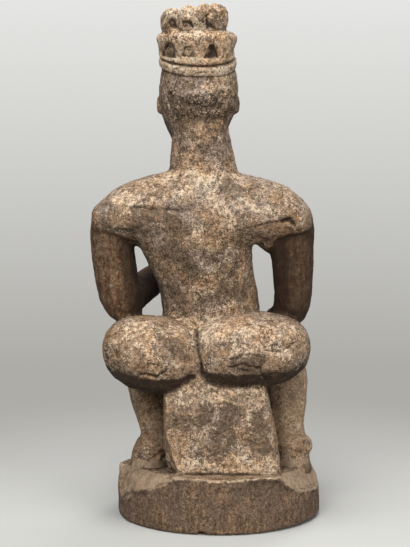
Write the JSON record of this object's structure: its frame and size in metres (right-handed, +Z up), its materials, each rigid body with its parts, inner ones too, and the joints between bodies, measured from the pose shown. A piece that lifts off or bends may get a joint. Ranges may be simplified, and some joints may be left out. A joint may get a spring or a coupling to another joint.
{
  "type": "seated dignitary figure",
  "caption": "Seated wooden dignitary in a two-tier knobbed cap, one hand on the belly and one on the knee, carved from one log with its seat block and round base.",
  "frame": {"origin": "centre of the part's box at the underside of the base, where the figure stands on the floor", "axes": "+Z up; the figure faces -Y and its back is at +Y; +X is the figure's own left side"},
  "size_m": [0.386, 0.3326, 0.8539],
  "materials": {
    "weathered_wood": "old dry hardwood under a grey-brown crust with pale clay dust in the ledges"
  },
  "bodies": {
    "root": {"figure": "weathered_wood"}
  },
  "joints": []
}
